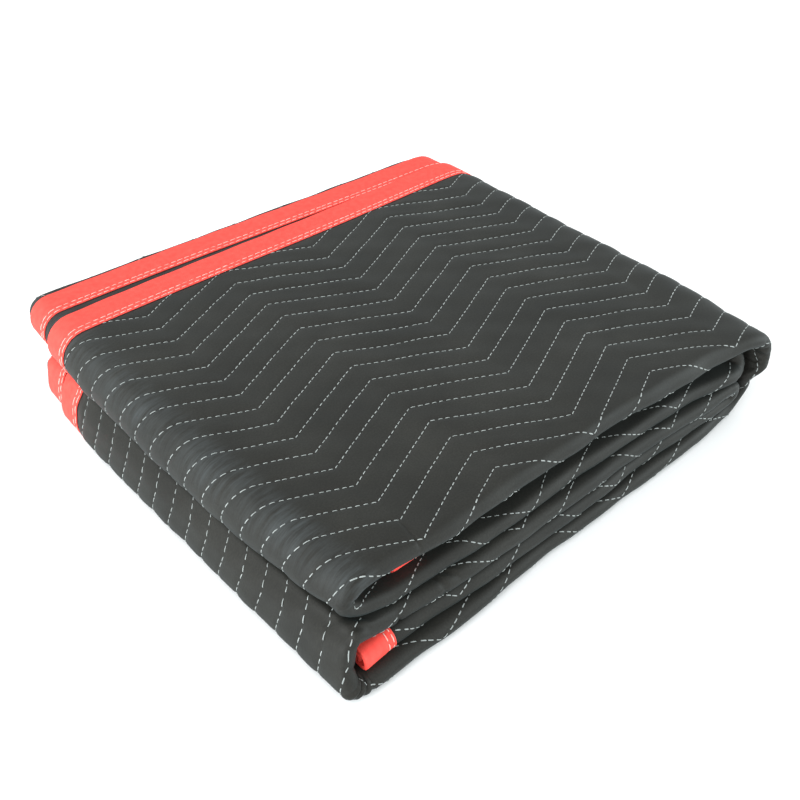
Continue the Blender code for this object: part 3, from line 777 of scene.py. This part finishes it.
def linear(code):
    parts = [int(code[spot:spot + 2], 16) / 255 for spot in (1, 3, 5)]
    parts = [part / 12.92 if part <= 0.04045 else ((part + 0.055) / 1.055) ** 2.4 for part in parts]
    return tuple(parts) + (1.0,)


def addNode(tree, kind, settings=None, links=None):
    # a node with its properties and inputs set; links maps inputs to sockets
    node = tree.nodes.new(kind)
    for name, value in (settings or {}).items():
        if isinstance(name, str) and hasattr(node, name):
            setattr(node, name, value)
        else:
            node.inputs[name].default_value = value
    for name, socket in (links or {}).items():
        tree.links.new(socket, node.inputs[name])
    return node


def setRamp(ramp, *tones):
    # puts (place, hex colour) pairs on a colour ramp, from its low end to its high one
    elements = ramp.color_ramp.elements
    (elements[0].position, low), (elements[1].position, high) = tones[0], tones[-1]
    elements[0].color, elements[1].color = linear(low), linear(high)
    for place, code in tones[1:-1]:
        elements.new(place).color = linear(code)


def newMaterial(name):
    material = bpy.data.materials.new(name)
    material.use_nodes = True
    tree = material.node_tree
    return material, tree, tree.nodes["Principled BSDF"]


clothLook = {
    # the rubbed tone is worn fibres and also a painted highlight along the upper bend's ridge
    "colour": "#201f1b", "light": "#2b2a26", "dark": "#161512", "wearAndHighlight": "#3f4344",
    "cloud": 0.045, "fibre": 0.0009,    # size of the cloudiness and of the fibre grain
    "cloudShare": 0.55, "fibreShare": 0.45,
    "wearAndHighlightAt": -0.0035, "wearAndHighlightWide": 0.015,   # middle of the band of wear and painted highlight, from the start of the top strip, and its reach
    "streaks": (60.0, 420.0, 1.0), "patches": 38.0,     # per metre
    "roughness": 0.60, "specular": 0.24,
    "sheen": 0.04, "sheenRoughness": 0.5, "sheenTint": "#9fd0dc",
    "grain": 0.22, "grainDeep": 0.00012,
}


def nonwovenMaterial():
    # needle-punched polyester nonwoven: matt black, with a faint felted cloudiness and a
    # dull sheen, paler along the upper bend, where it is rubbed and where a highlight is painted on
    material, tree, shader = newMaterial("blackNonwoven")
    flat = addNode(tree, "ShaderNodeUVMap", {"uv_map": "flat"}).outputs["UV"]
    clouds = addNode(tree, "ShaderNodeTexNoise", {
        "Scale": 1 / clothLook["cloud"], "Detail": 5.0, "Roughness": 0.62}, {"Vector": flat})
    fibre = addNode(tree, "ShaderNodeTexNoise", {
        "Scale": 1 / clothLook["fibre"], "Detail": 2.0, "Roughness": 0.6}, {"Vector": flat})
    part = addNode(tree, "ShaderNodeMath", {"operation": "MULTIPLY", 1: clothLook["cloudShare"]},
                   {0: clouds.outputs["Fac"]})
    tone = addNode(tree, "ShaderNodeMath", {"operation": "MULTIPLY_ADD", 1: clothLook["fibreShare"]},
                   {0: fibre.outputs["Fac"], 2: part.outputs["Value"]})
    ramp = addNode(tree, "ShaderNodeValToRGB", {}, {"Fac": tone.outputs["Value"]})
    setRamp(ramp, (0.30, clothLook["dark"]), (0.5, clothLook["colour"]), (0.70, clothLook["light"]))
    # rubbed streaks run round the upper bend; the paler band is worn fibres and a painted highlight along
    # its ridge
    apart = addNode(tree, "ShaderNodeSeparateXYZ", {}, {"Vector": flat})
    away = addNode(tree, "ShaderNodeMath", {
        "operation": "SUBTRACT", 1: float(spans["top"][0]) + clothLook["wearAndHighlightAt"]},
        {0: apart.outputs["X"]})
    size = addNode(tree, "ShaderNodeMath", {"operation": "ABSOLUTE"}, {0: away.outputs["Value"]})
    bend = addNode(tree, "ShaderNodeMapRange", {
        "interpolation_type": "SMOOTHERSTEP", "From Min": clothLook["wearAndHighlightWide"], "From Max": 0.0},
        {"Value": size.outputs["Value"]})
    squeeze = addNode(tree, "ShaderNodeMapping", {"Scale": clothLook["streaks"]}, {"Vector": flat})
    streaks = addNode(tree, "ShaderNodeTexNoise", {"Scale": 1.0, "Detail": 4.0, "Roughness": 0.65},
                      {"Vector": squeeze.outputs["Vector"]})
    streakPart = addNode(tree, "ShaderNodeMapRange", {"From Min": 0.35, "From Max": 0.75},
                         {"Value": streaks.outputs["Fac"]})
    patches = addNode(tree, "ShaderNodeTexNoise", {"Scale": clothLook["patches"], "Detail": 2.0},
                      {"Vector": flat})
    patchPart = addNode(tree, "ShaderNodeMapRange", {"From Min": 0.32, "From Max": 0.66, "To Min": 0.5},
                        {"Value": patches.outputs["Fac"]})
    streaked = addNode(tree, "ShaderNodeMath", {"operation": "MULTIPLY"},
                       {0: bend.outputs["Result"], 1: streakPart.outputs["Result"]})
    wearAndHighlight = addNode(tree, "ShaderNodeMath", {"operation": "MULTIPLY"},
                     {0: streaked.outputs["Value"], 1: patchPart.outputs["Result"]})
    # mixes in the pale tone of wear and painted highlight over the band
    mix = addNode(tree, "ShaderNodeMix", {"data_type": "RGBA", 7: linear(clothLook["wearAndHighlight"])},
                  {0: wearAndHighlight.outputs["Value"], 6: ramp.outputs["Color"]})
    tree.links.new(mix.outputs[2], shader.inputs["Base Color"])
    shader.inputs["Roughness"].default_value = clothLook["roughness"]
    shader.inputs["Specular IOR Level"].default_value = clothLook["specular"]
    shader.inputs["Sheen Weight"].default_value = clothLook["sheen"]
    shader.inputs["Sheen Roughness"].default_value = clothLook["sheenRoughness"]
    shader.inputs["Sheen Tint"].default_value = linear(clothLook["sheenTint"])
    grain = addNode(tree, "ShaderNodeBump", {
        "Strength": clothLook["grain"], "Distance": clothLook["grainDeep"]},
        {"Height": fibre.outputs["Fac"]})
    tree.links.new(grain.outputs["Normal"], shader.inputs["Normal"])
    return material


tapeFinish = {
    "colour": "#f04a40", "light": "#f45248", "dark": "#e84239",
    "clouds": 300.0, "ribs": 420.0, "ribWarp": 0.6,         # per metre
    "roughness": 0.72, "specular": 0.3, "ribHigh": 0.25, "ribDeep": 0.0001,
}


def tapeMaterial():
    # woven polypropylene seam tape: matt coral with a fine crosswise rib
    material, tree, shader = newMaterial("coralSeamTape")
    flat = addNode(tree, "ShaderNodeUVMap", {"uv_map": "flat"}).outputs["UV"]
    clouds = addNode(tree, "ShaderNodeTexNoise", {"Scale": tapeFinish["clouds"], "Detail": 4.0},
                     {"Vector": flat})
    ramp = addNode(tree, "ShaderNodeValToRGB", {}, {"Fac": clouds.outputs["Fac"]})
    setRamp(ramp, (0.25, tapeFinish["dark"]), (0.5, tapeFinish["colour"]), (0.75, tapeFinish["light"]))
    tree.links.new(ramp.outputs["Color"], shader.inputs["Base Color"])
    shader.inputs["Roughness"].default_value = tapeFinish["roughness"]
    shader.inputs["Specular IOR Level"].default_value = tapeFinish["specular"]
    rib = addNode(tree, "ShaderNodeTexWave", {
        "wave_type": "BANDS", "bands_direction": "DIAGONAL", "Scale": tapeFinish["ribs"],
        "Distortion": tapeFinish["ribWarp"]}, {"Vector": flat})
    bump = addNode(tree, "ShaderNodeBump", {
        "Strength": tapeFinish["ribHigh"], "Distance": tapeFinish["ribDeep"]},
        {"Height": rib.outputs["Fac"]})
    tree.links.new(bump.outputs["Normal"], shader.inputs["Normal"])
    return material


threadFinish = {
    "pale": ("#9da2a0", "#828785"), "pinkish": ("#f8bcb3", "#ee9f95"),      # light and shade
    "tints": 300.0, "twists": 500.0,                        # per metre
    "roughness": 0.6, "twistHigh": 0.4, "twistDeep": 0.0001,
}


def threadMaterial(name, tones):
    # spun polyester sewing thread: pale, softly lustrous, with a twist
    material, tree, shader = newMaterial(name)
    light, shade = tones
    flat = addNode(tree, "ShaderNodeUVMap", {"uv_map": "flat"}).outputs["UV"]
    tint = addNode(tree, "ShaderNodeTexNoise", {"Scale": threadFinish["tints"], "Detail": 1.0},
                   {"Vector": flat})
    ramp = addNode(tree, "ShaderNodeValToRGB", {}, {"Fac": tint.outputs["Fac"]})
    setRamp(ramp, (0.3, shade), (0.7, light))
    tree.links.new(ramp.outputs["Color"], shader.inputs["Base Color"])
    shader.inputs["Roughness"].default_value = threadFinish["roughness"]
    twist = addNode(tree, "ShaderNodeTexWave", {
        "wave_type": "BANDS", "bands_direction": "DIAGONAL", "Scale": threadFinish["twists"]},
        {"Vector": flat})
    bump = addNode(tree, "ShaderNodeBump", {
        "Strength": threadFinish["twistHigh"], "Distance": threadFinish["twistDeep"]},
        {"Height": twist.outputs["Fac"]})
    tree.links.new(bump.outputs["Normal"], shader.inputs["Normal"])
    return material


studio = {
    "floor": "#fbfbfb", "floorRoughness": 0.9, "floorReach": 6, "floorDown": 0.0001, "world": 1.0,
    "camera": (-0.3323, -0.3738, 0.4097), "focal": 50.6, "sensor": 36.0, "clip": (0.02, 30.0),
    "right": (0.7435, -0.6687, 0.0120), "up": (0.4197, 0.4805, 0.7700),     # of the camera
    "back": (-0.5206, -0.5674, 0.6379),
    "lamps": [      # name, place, width, power and tint
        ("rearLamp", (-0.85, 1.05, 1.25), 0.9, 11.0, (0.94, 1.0, 1.0)),
        ("leftLamp", (-1.7, -0.2, 0.5), 1.2, 36.0, (0.92, 0.98, 1.0)),
        ("frontLamp", (0.3, -1.8, 0.6), 1.4, 6.5, (0.86, 0.98, 1.0)),
        ("rightLamp", (1.6, -1.1, 0.5), 1.0, 24.0, (0.86, 0.98, 1.0)),
    ],
}


def makeStudio():
    world = bpy.data.worlds.new("studioLight")
    bpy.context.scene.world = world
    world.use_nodes = True
    sky = world.node_tree.nodes["Background"]
    sky.inputs["Color"].default_value = (1.0, 1.0, 1.0, 1.0)
    sky.inputs["Strength"].default_value = studio["world"]
    mesh = bpy.data.meshes.new("studio_floor")
    far = studio["floorReach"]
    mesh.from_pydata([(-far, -far, 0), (far, -far, 0), (far, far, 0), (-far, far, 0)], [], [(0, 1, 2, 3)])
    material, tree, shader = newMaterial("paperFloor")
    shader.inputs["Base Color"].default_value = linear(studio["floor"])
    shader.inputs["Roughness"].default_value = studio["floorRoughness"]
    mesh.materials.append(material)
    floor = bpy.data.objects.new("studio_floor", mesh)
    floor.location.z = -studio["floorDown"]
    bpy.context.scene.collection.objects.link(floor)
    for name, place, width, power, tint in studio["lamps"]:
        data = bpy.data.lights.new(name, "AREA")
        data.shape, data.size, data.energy = "DISK", width, power
        data.color = tint
        light = bpy.data.objects.new(name, data)
        light.location = place
        light.rotation_euler = (-Vector(place)).to_track_quat("-Z", "Y").to_euler()
        bpy.context.scene.collection.objects.link(light)
    data = bpy.data.cameras.new("photoCamera")
    data.lens, data.sensor_width, data.sensor_fit = studio["focal"], studio["sensor"], "HORIZONTAL"
    data.clip_start, data.clip_end = studio["clip"]
    camera = bpy.data.objects.new("photoCamera", data)
    axes = Matrix([studio["right"], studio["up"], studio["back"]]).transposed()
    camera.rotation_euler = axes.to_euler()
    camera.location = studio["camera"]
    bpy.context.scene.collection.objects.link(camera)
    bpy.context.scene.camera = camera
    bpy.context.scene.view_settings.view_transform = "Standard"


nonwoven = nonwovenMaterial()
seamTape = tapeMaterial()
paleThread = threadMaterial("paleThread", threadFinish["pale"])
tapeThread = threadMaterial("pinkishThread", threadFinish["pinkish"])
pad = makePad(nonwoven)
tapes = [makeLongTape("seam_tape_1", "binding_long_1", seamTape, False),
         makeLongTape("seam_tape_2", "binding_long_2", seamTape, True),
         makeEndTape("seam_tape_3", "binding_end_1", seamTape, False),
         makeEndTape("seam_tape_4", "binding_end_2", seamTape, True)]
print("tapes:", [len(piece.data.polygons) for piece in tapes])
makeQuiltingStitches(paleThread)
makeRearStitches(paleThread)
makeAllTapeStitches(tapeThread)
makeStudio()
